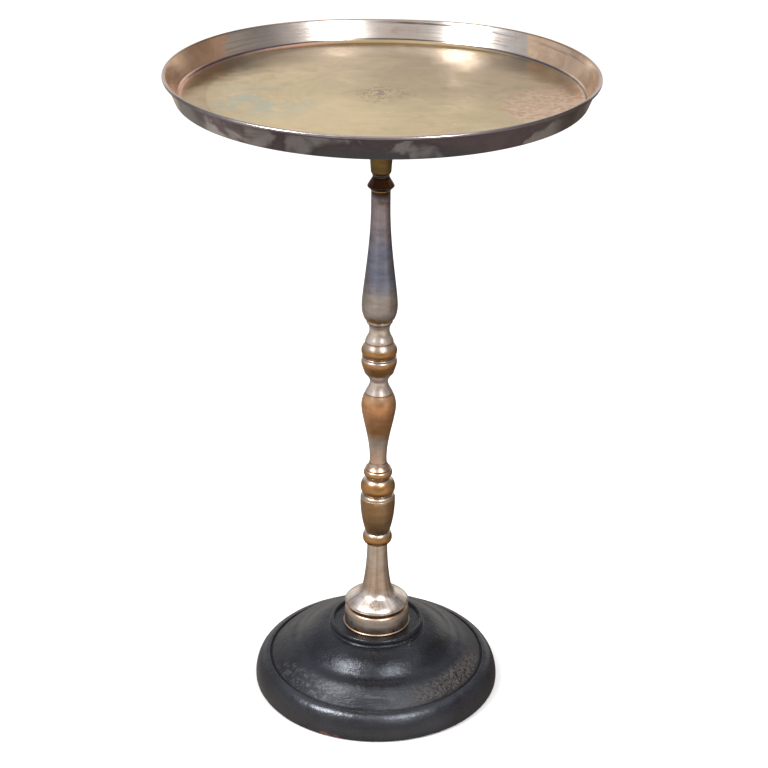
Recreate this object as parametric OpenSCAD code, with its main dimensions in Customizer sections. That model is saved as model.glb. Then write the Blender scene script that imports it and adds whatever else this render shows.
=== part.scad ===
// Pedestal tray table: a spun brass tray on a turned, stacked brass column
// that a steel tie rod clamps to an ebonised wooden base.
// Millimetres, +Z up, origin on the floor at the centre of the base.

/* [Tray] */
// Outside diameter over the rolled rim
tray_d = 406.4; // [380:0.1:450]
// Height of the rolled rim above the floor
table_h = 661; // [655:1:680]
// Depth from the rim's top to the tray floor's underside
tray_depth = 23.4; // [20:0.1:28]
// How far the wall leans out between floor and rim
wall_flare = 9.2; // [6:0.1:14]
// Thickness of the tray's sheet brass
sheet = 1; // [0.8:0.1:1.6]
// Radius of the wire inside the rolled rim
wire_r = 0.8; // [0.6:0.1:1.2]
// Radius of the flange that is soldered under the tray
flange_r = 45; // [35:1:60]

/* [Swivel] */
// Radius of the spigot that the tray turns on
spigot_r = 6.5; // [6:0.1:7]
// Radial running clearance of the tray's socket on the spigot
running_fit = 0.05; // [0.03:0.01:0.1]
// Length of the spigot above its shoulder
spigot_len = 46; // [30:1:48]
// Thickness of the fibre washer that the tray rides on
washer_t = 1.4; // [1:0.1:2]

/* [Tie rod] */
// Radius of the steel rod through the column
rod_r = 4; // [3.5:0.1:4.2]
// Radial clearance of the column's bores round the rod
rod_gap = 0.25; // [0.1:0.05:0.4]
// Hexagon nut, across flats
nut_af = 13; // [13:1:17]
// Thickness of the nut
nut_t = 6.5; // [5:0.5:8]

/* [Wooden base] */
// Widest radius of the base
base_r = 127.8; // [120:0.1:140]
// Width of the rounded lower moulding, in plan
foot_w = 15; // [13:0.5:18]
// Height of the rounded lower moulding
foot_h = 22.7; // [18:0.1:24]
// Radius of the flat seat for the metal collar
seat_r = 44; // [40:1:46]
// Thickness of the baize pad under the base
pad_t = 2; // [1.5:0.5:3]

/* [Smoothness] */
// Straight steps in each curved stretch of an outline
steps = 12; // [6:1:20]

/* [Hidden] */
$fn = 128;

silvered = [0.72, 0.69, 0.65];
bronze = [0.60, 0.45, 0.28];
gold = [0.72, 0.58, 0.32];
raw_brass = [0.45, 0.37, 0.20];
tray_brass = [0.76, 0.69, 0.52];
steel = [0.55, 0.56, 0.58];
ebonised = [0.15, 0.15, 0.18];

// Heights of the faces where one piece of the column stands on the next
base_lift = 0.5;
seat_z = 66.4;
collar_top = 90.2;
foot_top = 160.8;
ring_top = 175.2;
cup_top = 218.6;
ball_top = 238;
neck_top = 254;
vase_top = 331.8;
spool_top = 353.8;
rim_top = 372.8;
bead_top = 387.2;
bell_top = 407;
shaft_z = 411.6;
shaft_top = 544;
knop_top = 557.4;
shoulder_t = 1.8;

// Bores, and the registers that centre each piece on the one below
bore = rod_r + rod_gap;
reg_r = 6.4;
reg_h = 1.6;
reg_gap = 0.04;
foot_hollow_r = 25;
foot_fit_r = foot_hollow_r - reg_gap;
cast_wall = 3;

// Hairline between the faces that turn on each other
thrust_gap = 0.02;
shoulder_z = knop_top + shoulder_t;
washer_z = shoulder_z + thrust_gap;
socket_z = washer_z + washer_t + thrust_gap;
spigot_top = shoulder_z + spigot_len;
socket_bore = spigot_r + running_fit;
tray_z = table_h - tray_depth;
curl_r = wire_r + 0.05 + sheet / 2;
rim_r = tray_d / 2 - curl_r - sheet / 2;
rim_z = table_h - curl_r - sheet / 2;

// Counterbore under the base for the washer and nut
well_r = 19;
well_top = 17;
washer_r = 16;
washer_h = 2;

// Elliptical arc about c with half axes r, from angle a0 to a1
function arc(c, r, a0, a1, n = steps) =
    [for (i = [0:n]) let (a = a0 + (a1 - a0) * i / n) [c[0] + r[0] * cos(a), c[1] + r[1] * sin(a)]];

// Cubic curve from a to d that leaves towards b and arrives from c
function curve(a, b, c, d, n = steps) =
    [for (i = [0:n]) let (t = i / n, s = 1 - t)
        s * s * s * a + 3 * s * s * t * b + 3 * s * t * t * c + t * t * t * d];

// The same outline moved inwards by the casting's wall, never inside the bore
function hollow(outline, wall) =
    [for (i = [len(outline) - 1:-1:0])
        if (outline[i][0] - wall > bore) [outline[i][0] - wall, outline[i][1]]];

module turned(outline) rotate_extrude() polygon(outline);

// A column piece: outline from bottom to top, bored for the rod, with a
// recess below and a register above that fit the neighbouring pieces
module section(outline, register = true, recess = true) {
    z0 = outline[0][1];
    z1 = outline[len(outline) - 1][1];
    low = recess
        ? [[bore, z0 + reg_h + 0.2], [reg_r + reg_gap, z0 + reg_h + 0.2], [reg_r + reg_gap, z0]]
        : [[bore, z0]];
    high = register
        ? [[reg_r, z1], [reg_r, z1 + reg_h], [bore, z1 + reg_h]]
        : [[bore, z1]];
    turned(concat(low, outline, high));
}

// The hollow that a core leaves inside a long casting
module core(outline, wall = cast_wall) {
    inner = hollow(outline, wall);
    turned(concat([[bore - 1, inner[len(inner) - 1][1]], [bore - 1, inner[0][1]]], inner));
}

module baize_pad() {
    color([0.12, 0.25, 0.16]) cylinder(r = base_r - 8, h = pad_t);
}

module wooden_base() {
    foot_c = [base_r - foot_w, 5];
    rebate_r = base_r - 7.5;
    edge_r = 2.5;
    groove = [foot_c[0] - 1.3, foot_c[1] + foot_h - 1.8];
    color(ebonised) turned(concat(
        [[bore, well_top], [well_r, well_top], [well_r, pad_t], [rebate_r, pad_t], [rebate_r, base_lift]],
        arc([base_r - edge_r, base_lift + edge_r], [edge_r, edge_r], -90, 0, 6),
        arc(foot_c, [foot_w, foot_h], 0, 90),
        [groove],
        curve(groove + [-1.3, 2.2], [104, 34.5], [96, 42.6], [88, 44.8]),
        curve([88, 44.8], [85, 45.6], [82, 47], [79, 49.6], 6),
        curve([79, 49.6], [73, 55.2], [64, 62], [50.4, 62.8]),
        [[49.2, 63.6]],
        arc([46.6, 66.6], [2.4, 2.9], -40, 150, 8),
        [[seat_r, seat_z], [bore, seat_z]]));
}

module base_washer() {
    color(steel) difference() {
        translate([0, 0, well_top - washer_h]) cylinder(r = washer_r, h = washer_h);
        translate([0, 0, well_top - washer_h - 1]) cylinder(r = bore, h = washer_h + 2);
    }
}

module base_nut() {
    nut_z = well_top - washer_h - nut_t;
    color(steel) difference() {
        intersection() {
            translate([0, 0, nut_z]) cylinder(d = nut_af / cos(30), h = nut_t, $fn = 6);
            turned([[0, nut_z], [nut_af / 2, nut_z], [nut_af / 2 + 1.1, nut_z + 0.7],
                    [nut_af / 2 + 1.1, nut_z + nut_t - 0.7], [nut_af / 2, nut_z + nut_t],
                    [0, nut_z + nut_t]]);
        }
        translate([0, 0, nut_z - 1]) cylinder(r = rod_r, h = nut_t + 2);
    }
}

module tie_rod() {
    rod_z = well_top - washer_h - nut_t - 2;
    rod_top = shoulder_z + 20;
    color(steel) turned([[0, rod_z], [rod_r - 0.8, rod_z], [rod_r, rod_z + 0.8],
                         [rod_r, rod_top - 0.8], [rod_r - 0.8, rod_top], [0, rod_top]]);
}

module base_collar() {
    color(silvered) section(concat(
        [[34.5, seat_z]],
        arc([34.2, seat_z + 0.7], [0.7, 0.7], -60, 80, 6),
        [[33.8, seat_z + 1.8], [33.4, collar_top - 9]],
        arc([29.4, collar_top - 9], [4, 5], 0, 82, 8),
        [[28.6, collar_top - 3.6], [28, collar_top - 3], [28, collar_top],
         [foot_fit_r, collar_top], [foot_fit_r, collar_top + 1.4]]), register = false, recess = false);
}

module trumpet_foot() {
    outline = concat(
        [[28.6, collar_top], [28.6, collar_top + 0.6], [33, collar_top + 0.6]],
        arc([33, collar_top + 1.1], [0.5, 0.5], -70, 80, 4),
        curve([32.9, collar_top + 1.7], [31.9, 95], [25.4, 97.8], [20.8, 100.6], 8),
        curve([20.8, 100.6], [17.4, 102.7], [15.6, 105.7], [15, 109.5]),
        curve([15, 109.5], [11.6, 126], [10.5, 146], [10.4, foot_top]));
    color(silvered) difference() {
        section(outline);
        // Hollow under the dish, open below, that narrows up into the stem
        turned(concat(
            [[0, collar_top - 1], [foot_hollow_r, collar_top - 1], [foot_hollow_r, collar_top + 2]],
            curve([foot_hollow_r, collar_top + 2], [20, 97], [13, 99], [11, 107], 8),
            curve([11, 107], [8.6, 120], [7.4, 140], [7.2, 152], 8),
            [[bore, 154], [0, 154]]));
    }
}

module lower_ring() {
    color(gold) section(concat(
        [[10.6, foot_top]],
        arc([10.4, 167.4], [4.75, 6.6], -84, 0, 8),
        arc([10.4, 167.4], [4.75, 7.2], 6, 78, 8),
        [[11.8, ring_top]]));
}

module lower_cup() {
    rim = 214.8;
    outline = concat(
        [[12.2, ring_top], [12.7, ring_top + 0.4]],
        curve([12.8, ring_top + 0.8], [15.6, 185], [17.8, 198], [17.8, 210]),
        [[17.7, rim - 0.4], [17.4, rim]],
        arc([14.6, rim], [2.7, 3.4], 10, 84, 8),
        [[14.6, cup_top]]);
    color(bronze) difference() {
        section(outline);
        core([for (p = outline) if (p[1] > ring_top + 6 && p[1] < cup_top - 6) p]);
    }
}

module lower_ball() {
    color(gold) section(concat(
        [[14.4, cup_top]],
        arc([9.5, 226], [8.15, 9.5], -50, 0, 8),
        arc([9.5, 226], [8.15, 10.8], 6, 76, 10),
        [[11.4, ball_top - 0.6], [11.6, ball_top]]));
}

module neck_ring() {
    color(bronze) section(concat(
        [[11.9, ball_top]],
        arc([11.4, 242.4], [3.2, 4], -72, 74, 10),
        [[12.5, 246.7], [13, 247.3]],
        curve([13, 247.6], [11.2, 249.4], [9.6, 251.2], [9.15, neck_top - 0.4], 8),
        [[8.9, neck_top]]));
}

module vase() {
    outline = concat(
        [[8.7, neck_top], [8.9, neck_top + 0.4], [8.9, neck_top + 1.2], [8.66, neck_top + 1.8]],
        curve([8.65, 260], [8.65, 281], [17.5, 306], [17.5, 318], 18),
        curve([17.5, 318], [17.5, 323.5], [15.4, 329.3], [14, vase_top], 8));
    color([0.60, 0.42, 0.28]) difference() {
        section(outline);
        core([for (p = outline) if (p[1] > 284 && p[1] < vase_top - 5) p]);
    }
}

module vase_spool() {
    color(silvered) section(concat(
        [[13.5, vase_top], [13.9, vase_top + 0.5]],
        curve([13.8, vase_top + 0.9], [12.2, 335.8], [9.1, 340.4], [9.1, 344.2], 10),
        curve([9.1, 344.2], [9.1, 347.6], [12, 351.6], [14, spool_top - 0.5], 10),
        [[14, spool_top]]));
}

module upper_cup() {
    color(bronze) section(concat(
        [[13.8, spool_top], [14.5, spool_top + 0.3]],
        curve([14.7, spool_top + 0.7], [16, 359.2], [17.8, 362.8], [17.8, 366.4], 10),
        arc([15, 366.6], [2.8, 3.6], 4, 52, 6),
        [[16.5, 370], [16.5, 370.5]],
        arc([16.4, 371.4], [0.9, 0.8], -60, 80, 6),
        [[15.8, rim_top - 0.4], [15.8, rim_top]]));
}

module upper_ball() {
    color(gold) section(concat(
        [[15.8, rim_top], [16.2, rim_top + 0.3]],
        arc([12.4, 378], [5.4, 7], -44, 0, 8),
        curve([17.8, 378.4], [17.7, 382], [14.8, 384.6], [13.6, bead_top], 10)));
}

module neck_bell() {
    color(silvered) section(concat(
        [[13.4, bead_top], [14, bead_top + 0.3], [14.1, bead_top + 1]],
        curve([14, bead_top + 1.5], [13.2, 392.2], [10.1, 394.8], [10.05, 400], 10),
        curve([10.05, 400], [10.05, 402.6], [10.8, 405], [11.8, bell_top], 6)));
}

module shaft_ring() {
    color(silvered) section(concat(
        [[11.6, bell_top]],
        arc([11, 409.3], [2.1, 2.3], -76, 76, 10),
        [[11.6, shaft_z]]));
}

module upper_shaft() {
    outline = concat(
        [[13.7, shaft_z], [14.4, shaft_z + 0.5]],
        arc([9.6, 426], [8.2, 17.5], -50, 0),
        curve([17.8, 426], [17.8, 441], [9.35, 485.7], [9.35, 530], 24),
        [[9.35, shaft_top]]);
    color([0.55, 0.51, 0.50]) difference() {
        section(outline);
        core([for (p = outline) if (p[1] > shaft_z + 6 && p[1] < 492) p]);
    }
}

module top_collar() {
    bulge = [12, 549];
    color([0.32, 0.26, 0.22]) section(concat(
        [[9.3, shaft_top], [9.7, shaft_top + 0.4]],
        [[9.8, shaft_top + 1.2], [12.4, 547.8]],
        arc(bulge, [1.1, 1.1], -50, 40, 6),
        [[12.3, 550.8], [8.6, knop_top - 0.4], [8.4, knop_top]]), register = false);
}

module swivel_spigot() {
    hole_top = shoulder_z + 22;
    color(steel) turned([
        [rod_r, knop_top], [8, knop_top], [8.2, knop_top + 0.3], [8.2, shoulder_z - 0.3],
        [8, shoulder_z], [spigot_r, shoulder_z], [spigot_r, spigot_top - 2],
        [spigot_r - 1.2, spigot_top], [0, spigot_top], [0, hole_top], [rod_r, hole_top - 1]]);
}

module swivel_washer() {
    color([0.35, 0.22, 0.14]) difference() {
        translate([0, 0, washer_z]) cylinder(r = 8.2, h = washer_t);
        translate([0, 0, washer_z - 1]) cylinder(r = socket_bore, h = washer_t + 2);
    }
}

module tray_socket() {
    flange_z = tray_z - 2.6;
    blind_z = spigot_top + 6;
    color(raw_brass) turned(concat(
        [[socket_bore, socket_z], [8.6, socket_z], [9.8, socket_z + 2.2], [10.1, socket_z + 6],
         [11, socket_z + 20]],
        curve([11, socket_z + 20], [13, socket_z + 46], [14, tray_z - 12], [24, tray_z - 5]),
        curve([24, tray_z - 5], [28, tray_z - 3.4], [34, flange_z], [flange_r - 1, flange_z], 8),
        [[flange_r, flange_z + 1], [flange_r, tray_z], [0, tray_z], [0, blind_z + 3],
         [socket_bore, blind_z]]));
}

module tray() {
    seam_bend = 1.6;
    cove_bend = 6.6;
    inside = sheet_path(cove_bend);
    outside = sheet_path(seam_bend);
    inner = [for (i = [0:len(inside) - 1]) inside[i] + sheet / 2 * normal(inside, i)];
    outer = [for (i = [len(outside) - 1:-1:0]) outside[i] - sheet / 2 * normal(outside, i)];
    color(tray_brass) turned(concat(inner, outer));
}

// Middle line of the tray's sheet: floor, bend, leaning wall, then the curl round the wire
function sheet_path(bend) =
    let (foot_in = rim_r - wall_flare, lean = atan2(wall_flare, rim_z - tray_z))
    concat(
        [[0, tray_z + sheet / 2], [foot_in - bend, tray_z + sheet / 2]],
        arc([foot_in - bend, tray_z + sheet / 2 + bend], [bend, bend], -84, -lean, 8),
        arc([rim_r, rim_z], [curl_r, curl_r], 180 - lean, -90 - lean, 20));

// Unit normal of a path at point i, on its left side
function normal(path, i) =
    let (a = path[max(i - 1, 0)], b = path[min(i + 1, len(path) - 1)], d = (b - a) / norm(b - a))
    [-d[1], d[0]];

module rim_wire() {
    color(gold) rotate_extrude() translate([rim_r, rim_z]) circle(r = wire_r);
}

baize_pad();
wooden_base();
base_washer();
base_nut();
tie_rod();
base_collar();
trumpet_foot();
lower_ring();
lower_cup();
lower_ball();
neck_ring();
vase();
vase_spool();
upper_cup();
upper_ball();
neck_bell();
shaft_ring();
upper_shaft();
top_collar();
swivel_spigot();
swivel_washer();
tray_socket();
tray();
rim_wire();
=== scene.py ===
import math

import bpy
from mathutils import Matrix, Vector, noise


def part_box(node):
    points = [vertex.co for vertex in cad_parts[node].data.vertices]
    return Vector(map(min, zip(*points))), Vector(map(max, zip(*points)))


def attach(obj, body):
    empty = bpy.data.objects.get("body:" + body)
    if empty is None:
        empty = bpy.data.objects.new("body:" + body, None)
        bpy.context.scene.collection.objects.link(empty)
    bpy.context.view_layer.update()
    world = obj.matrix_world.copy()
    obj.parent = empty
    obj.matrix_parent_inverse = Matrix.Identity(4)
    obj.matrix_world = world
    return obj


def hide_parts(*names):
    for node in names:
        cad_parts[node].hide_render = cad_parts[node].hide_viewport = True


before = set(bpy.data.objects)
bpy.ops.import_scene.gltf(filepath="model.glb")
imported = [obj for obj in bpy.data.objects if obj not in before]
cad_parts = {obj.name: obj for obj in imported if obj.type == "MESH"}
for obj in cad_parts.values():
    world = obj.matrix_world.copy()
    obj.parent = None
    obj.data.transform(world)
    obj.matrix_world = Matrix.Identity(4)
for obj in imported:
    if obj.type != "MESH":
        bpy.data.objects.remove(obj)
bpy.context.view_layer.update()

MM = 0.001

SHEET = 1.0                       # thickness of the tray's sheet, in millimetres like all outlines
WALL_WIDE = 18.2                  # from the tray's outer edge to the fold at the floor


# ---------------------------------------------------------------- measures from the CAD parts in model.glb

def low(node):
    """Height of a node's lowest point, in millimetres."""
    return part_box(node)[0].z / MM


def high(node):
    """Height of a node's highest point, in millimetres."""
    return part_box(node)[1].z / MM


def reach(node):
    """Largest radius of a round node, in millimetres."""
    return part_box(node)[1].x / MM


# ---------------------------------------------------------------- outlines

def arc(cx, cz, rx, rz, a0, a1, n=24):
    """Elliptical arc about (cx, cz), from angle a0 to a1 in degrees."""
    angles = [math.radians(a0 + (a1 - a0) * i / n) for i in range(n + 1)]
    return [(cx + rx * math.cos(a), cz + rz * math.sin(a)) for a in angles]


def curve(a, b, c, d, n=28):
    """Cubic curve from a to d that leaves towards b and arrives from c."""
    points = []
    for i in range(n + 1):
        t = i / n
        s = 1 - t
        w = (s * s * s, 3 * s * s * t, 3 * s * t * t, t * t * t)
        points.append(tuple(sum(wi * p[k] for wi, p in zip(w, (a, b, c, d))) for k in (0, 1)))
    return points


GUARD = 0.35                      # clear flat beside a rounding, so that it shades flat
GENTLE = math.radians(20)         # a turn below this stays as it was drawn
STEEPEST = 2.6                    # radians; a sharper turn is rounded as if it were this one
SHARE = 0.42                      # most of a side that one rounding may use
ROUND_STEPS = 5


def eased(points, radius):
    """The outline with each sharp corner rounded, and a guard point on either side of the rounding."""
    out = [points[0]]
    for p0, p1, p2 in zip(points, points[1:], points[2:]):
        a = Vector(p1) - Vector(p0)
        b = Vector(p2) - Vector(p1)
        if a.length < 1e-4 or b.length < 1e-4:
            continue
        turn = a.angle(b)
        if turn < GENTLE:
            out.append(p1)
            continue
        cut = min(radius * math.tan(min(turn, STEEPEST) / 2), SHARE * a.length, SHARE * b.length)
        start = Vector(p1) - a.normalized() * cut
        end = Vector(p1) + b.normalized() * cut
        if a.length > 2 * (cut + GUARD):
            out.append(tuple(start - a.normalized() * GUARD))
        for i in range(ROUND_STEPS + 1):
            t = i / ROUND_STEPS
            q = start * (1 - t) ** 2 + Vector(p1) * (2 * t * (1 - t)) + end * t * t
            out.append(tuple(q))
        if b.length > 2 * (cut + GUARD):
            out.append(tuple(end + b.normalized() * GUARD))
    out.append(points[-1])
    return out


SHARP_FROM = 14                   # degrees of turn per mm of outline from which a corner counts
SHARP_FULL = 60                   # and at which it counts in full
EDGE_FALL = 0.7                   # how far wear reaches from an outer edge, in mm
NOOK_FALL = 1.1                   # how far dirt and painted shade reach from an inner corner, in mm


def spread(points, marks, fall):
    """The strongest mark near each point, where a mark (place, strength) fades over `fall` mm."""
    values = []
    for p in points:
        near = [s * math.exp(-math.dist(p, q) / fall) for q, s in marks if math.dist(p, q) < 5 * fall]
        values.append(max(near, default=0.0))
    return values


def form(points, ends_meet=True):
    """How far each point of an outline is an outer edge and an inner corner, from 0 to 1.
    Where ends_meet, the outline's two ends are joints with a neighbour, so dirt and painted shade go there."""
    edge_marks, nook_marks = [], []
    for p0, p1, p2 in zip(points, points[1:], points[2:]):
        a = Vector(p1) - Vector(p0)
        b = Vector(p2) - Vector(p1)
        if a.length < 1e-5 or b.length < 1e-5:
            continue
        bend = a.x * b.y - a.y * b.x
        sharp = math.degrees(a.angle(b)) / max(0.25, (a.length + b.length) / 2)
        if sharp > SHARP_FROM:
            (edge_marks if bend > 0 else nook_marks).append((p1, min(1, sharp / SHARP_FULL)))
    if ends_meet:
        nook_marks += [(points[0], 1.0), (points[-1], 1.0)]
    return spread(points, edge_marks, EDGE_FALL), spread(points, nook_marks, NOOK_FALL)


# ---------------------------------------------------------------- turned meshes

def turned(name, skin, back, sides, body, nodes, material, wobble=None, ease=0.3, ends_meet=True):
    """A solid of revolution that rides on body in place of nodes. skin is the outline that shows, in
    order round the piece, and back closes it on the hidden side, both in millimetres. wobble(angle, r,
    z) gives a small radial and a small vertical shift, in metres. ease rounds the sharp corners."""
    skin = eased(skin, ease)
    edge, nook = form(skin, ends_meet)
    loop = [(r * MM, z * MM) for r, z in skin + back]
    edge += [0.0] * len(back)
    nook += [1.0] * len(back)
    verts, faces, rings, marks = [], [], [], []
    for i, (r, z) in enumerate(loop):
        if r < 1e-6:
            rings.append([len(verts)] * sides)
            verts.append((0, 0, z))
            marks.append(i)
            continue
        rings.append(range(len(verts), len(verts) + sides))
        for k in range(sides):
            a = 2 * math.pi * k / sides
            dr, dz = wobble(a, r, z) if wobble else (0, 0)
            verts.append(((r + dr) * math.cos(a), (r + dr) * math.sin(a), z + dz))
            marks.append(i)
    for i, ring in enumerate(rings):
        above = rings[(i + 1) % len(rings)]
        for k in range(sides):
            m = (k + 1) % sides
            corners = []
            for v in (ring[k], ring[m], above[m], above[k]):
                if v not in corners:
                    corners.append(v)
            if len(corners) > 2:
                faces.append(corners)
    mesh = bpy.data.meshes.new(name)
    mesh.from_pydata(verts, [], faces)
    for key, values in (("edge", edge), ("nook", nook)):
        layer = mesh.attributes.new(key, "FLOAT", "POINT")
        layer.data.foreach_set("value", [values[i] for i in marks])
    mesh.polygons.foreach_set("use_smooth", [True] * len(mesh.polygons))
    mesh.update()
    piece = bpy.data.objects.new(name, mesh)
    bpy.context.scene.collection.objects.link(piece)
    mesh.materials.append(material)
    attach(piece, body)
    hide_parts(*nodes)
    return piece


# ---------------------------------------------------------------- node trees

class Tree:
    """Short words for building one material's or the world's nodes."""

    def __init__(self, owner):
        """Starts an empty tree for a material or a world."""
        owner.use_nodes = True
        self.owner = owner
        self.nodes = owner.node_tree.nodes
        self.links = owner.node_tree.links
        self.nodes.clear()

    def put(self, kind, inputs=None, out=0, **settings):
        """A new node: links or values for its inputs, settings for itself. Returns its output `out`."""
        node = self.nodes.new("ShaderNode" + kind)
        for key, value in settings.items():
            setattr(node, key, value)
        for key, value in (inputs or {}).items():
            if isinstance(value, bpy.types.NodeSocket):
                self.links.new(value, node.inputs[key])
            else:
                node.inputs[key].default_value = value
        return node.outputs[out] if node.outputs else None

    def math(self, operation, a, b=0.0, clamp=False):
        """One operation on two numbers."""
        return self.put("Math", {0: a, 1: b}, operation=operation, use_clamp=clamp)

    def times(self, a, b):
        """The product a * b."""
        return self.math("MULTIPLY", a, b)

    def plus(self, a, b, clamp=False):
        """The sum a + b, kept from 0 to 1 if clamped."""
        return self.math("ADD", a, b, clamp)

    def minus(self, a, b):
        """The difference a - b."""
        return self.math("SUBTRACT", a, b)

    def vector(self, operation, a, b=(0, 0, 0), out=0):
        """One operation on two vectors. out=1 takes its number instead of its vector."""
        return self.put("VectorMath", {0: a, 1: b}, out=out, operation=operation)

    def away(self, p, place):
        """Distance of the position p from a place."""
        return self.vector("DISTANCE", p, place, out=1)

    def scaled(self, v, k):
        """The vector v times the number k."""
        return self.put("VectorMath", {0: v, "Scale": k}, operation="SCALE")

    def step(self, value, start, stop, a=0.0, b=1.0):
        """Runs smoothly from a to b as value goes from start to stop, where start may be the larger."""
        if start > stop:
            start, stop, a, b = stop, start, b, a
        inputs = {"Value": value, "From Min": start, "From Max": stop, "To Min": a, "To Max": b}
        return self.put("MapRange", inputs, interpolation_type="SMOOTHSTEP")

    def mix(self, factor, a, b, blend="MIX"):
        """Colour a with b laid over it by factor, in a blend mode."""
        inputs = {0: factor, 6: self.rgba(a), 7: self.rgba(b)}
        return self.put("Mix", inputs, out=2, data_type="RGBA", blend_type=blend)

    @staticmethod
    def rgba(c):
        """A colour as an input takes it, where c is a link or three numbers."""
        return c if isinstance(c, bpy.types.NodeSocket) else (*c, 1.0)

    def noise(self, vector, scale, detail=3.0, rough=0.55, twist=0.0):
        """Cloudy noise about 0.5, finer as scale grows."""
        return self.put("TexNoise", {"Vector": vector, "Scale": scale, "Detail": detail,
                                     "Roughness": rough, "Distortion": twist})

    def attribute(self, name):
        """A number that the mesh holds at each point."""
        return self.put("Attribute", out=2, attribute_name=name)

    def split(self, v):
        """The x, y and z of a vector."""
        xyz = self.nodes.new("ShaderNodeSeparateXYZ")
        self.links.new(v, xyz.inputs[0])
        return tuple(xyz.outputs)

    def place(self):
        """Object position as (whole vector, x, y, z)."""
        p = self.put("TexCoord", out=3)
        return (p, *self.split(p))

    def join(self, x, y, z):
        """A vector from three numbers."""
        return self.put("CombineXYZ", {0: x, 1: y, 2: z})

    def bump(self, height, distance, strength=1.0, normal=None):
        """A normal that height tilts, where distance is the relief's depth in metres."""
        inputs = {"Height": height, "Distance": distance, "Strength": strength}
        if normal is not None:
            inputs["Normal"] = normal
        return self.put("Bump", inputs)

    def surface(self, inputs):
        """Ends the tree in one shader and returns the material."""
        shader = self.put("BsdfPrincipled", inputs)
        self.put("OutputMaterial", {"Surface": shader})
        return self.owner


def srgb(r, g, b):
    """A colour given in 8-bit screen values, as linear light."""
    return tuple(((c / 255 + 0.055) / 1.055) ** 2.4 if c > 10 else c / 255 / 12.92 for c in (r, g, b))


def around(t, x, y, along, turns, fine):
    """A vector that changes slowly round the axis and quickly with `along`, for lathe marks."""
    spoke = t.vector("NORMALIZE", t.join(x, y, 0.0))
    return t.vector("ADD", t.scaled(spoke, turns), t.join(0.0, 0.0, t.times(along, fine)))


# ---------------------------------------------------------------- materials

def blended(t, z, stops):
    """A colour that runs through stops of (height in mm, colour) as z rises."""
    tone = stops[0][1]
    for (z0, _), (z1, colour) in zip(stops, stops[1:]):
        tone = t.mix(t.step(z, z0 * MM, z1 * MM), tone, colour)
    return tone


PLAIN_LOOK = {"worn": 0.45, "rough": (0.26, 0.38), "lines": 1.0, "streak": 0.0, "grime_and_shade": 0.6,
              "crown_from": 0.12}


def turned_metal(name, look):
    """Turned metal, plated or bare. The look gives body (the skin's colours by height), crown (the colour
    where it faces up: plating left on top, and painted light) and crown_from (how far up), bare (the
    colour where it has worn), worn (how much), rough (least and most), lines (lathe marks), streak (stains
    that run down) and grime_and_shade (dirt and painted shade in inner corners and at joints)."""
    look = dict(PLAIN_LOOK, **look)
    t = Tree(bpy.data.materials.new(name + "_metal"))
    p, x, y, z = t.place()
    edge = t.attribute("edge")
    nook = t.attribute("nook")
    facing = t.put("SeparateXYZ", {0: t.put("TexCoord", out=1)}, out=2)
    cloud = t.noise(p, 60.0, 4.0, 0.62, 0.6)
    broad = t.noise(p, 18.0, 3.0, 0.5)
    lathe = t.noise(around(t, x, y, z, 1.2, 2600.0), 1.0, 2.0, 0.6)
    bands = t.noise(around(t, x, y, z, 0.8, 190.0), 1.0, 3.0, 0.6)
    drips = t.noise(around(t, x, y, z, 6.0, 9.0), 1.6, 4.0, 0.6)
    specks = t.noise(p, 1500.0, 2.0, 0.7)

    shifted = t.plus(z, t.times(t.minus(cloud, 0.5), 0.012))
    tone = blended(t, shifted, look["body"])
    # Painted light, partly plating: faces that point up take the crown colour, lighter on most pieces and
    # dark on the top collar.
    up = t.plus(facing, t.times(t.minus(cloud, 0.5), 0.35))
    tone = t.mix(t.step(up, look["crown_from"], look["crown_from"] + 0.3), tone, look["crown"])
    bare = t.plus(t.step(cloud, 0.5, 0.7), t.step(edge, 0.25, 0.9), clamp=True)
    bare = t.times(bare, look["worn"])
    bare = t.plus(bare, t.times(t.step(broad, 0.45, 0.7), look["worn"] * 0.5), clamp=True)
    tone = t.mix(bare, tone, look["bare"])
    tone = t.mix(t.times(t.step(bands, 0.35, 0.75), 0.2 * look["lines"]), tone, DIRT_AND_SHADE)
    if look["streak"]:
        tone = t.mix(t.times(t.step(drips, 0.46, 0.68), look["streak"]), tone, look["bare"])
    # Dirt and painted shade: inner corners and the joints with the next piece are darkened.
    grime_and_shade = t.plus(nook, t.times(t.minus(cloud, 0.5), 0.5))
    grime_and_shade = t.step(grime_and_shade, 0.3, 0.95, 0.0, look["grime_and_shade"])
    pits = t.step(specks, 0.69, 0.78, 0.0, 0.4)
    tone = t.mix(t.math("MAXIMUM", grime_and_shade, pits), tone, DIRT_AND_SHADE)

    gloss = t.step(t.noise(p, 130.0, 4.0, 0.6), 0.3, 0.75, *look["rough"])
    gloss = t.plus(gloss, t.times(grime_and_shade, 0.25), clamp=True)
    gloss = t.plus(gloss, t.times(t.minus(lathe, 0.5), 0.08), clamp=True)
    height = t.plus(t.times(lathe, 0.3 * look["lines"]), t.times(bands, 0.5 * look["lines"]))
    height = t.plus(height, t.times(t.noise(p, 260.0, 3.0), 0.6))
    height = t.minus(height, t.times(pits, 0.6))
    normal = t.bump(height, 0.00002)
    return t.surface({"Base Color": tone, "Metallic": 1.0, "Roughness": gloss, "Normal": normal})


RUB_AT = (0.032, -0.04, 0.066)    # places on the base, in metres
CHIP_AT = (-0.047, -0.118, 0.003)


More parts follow.
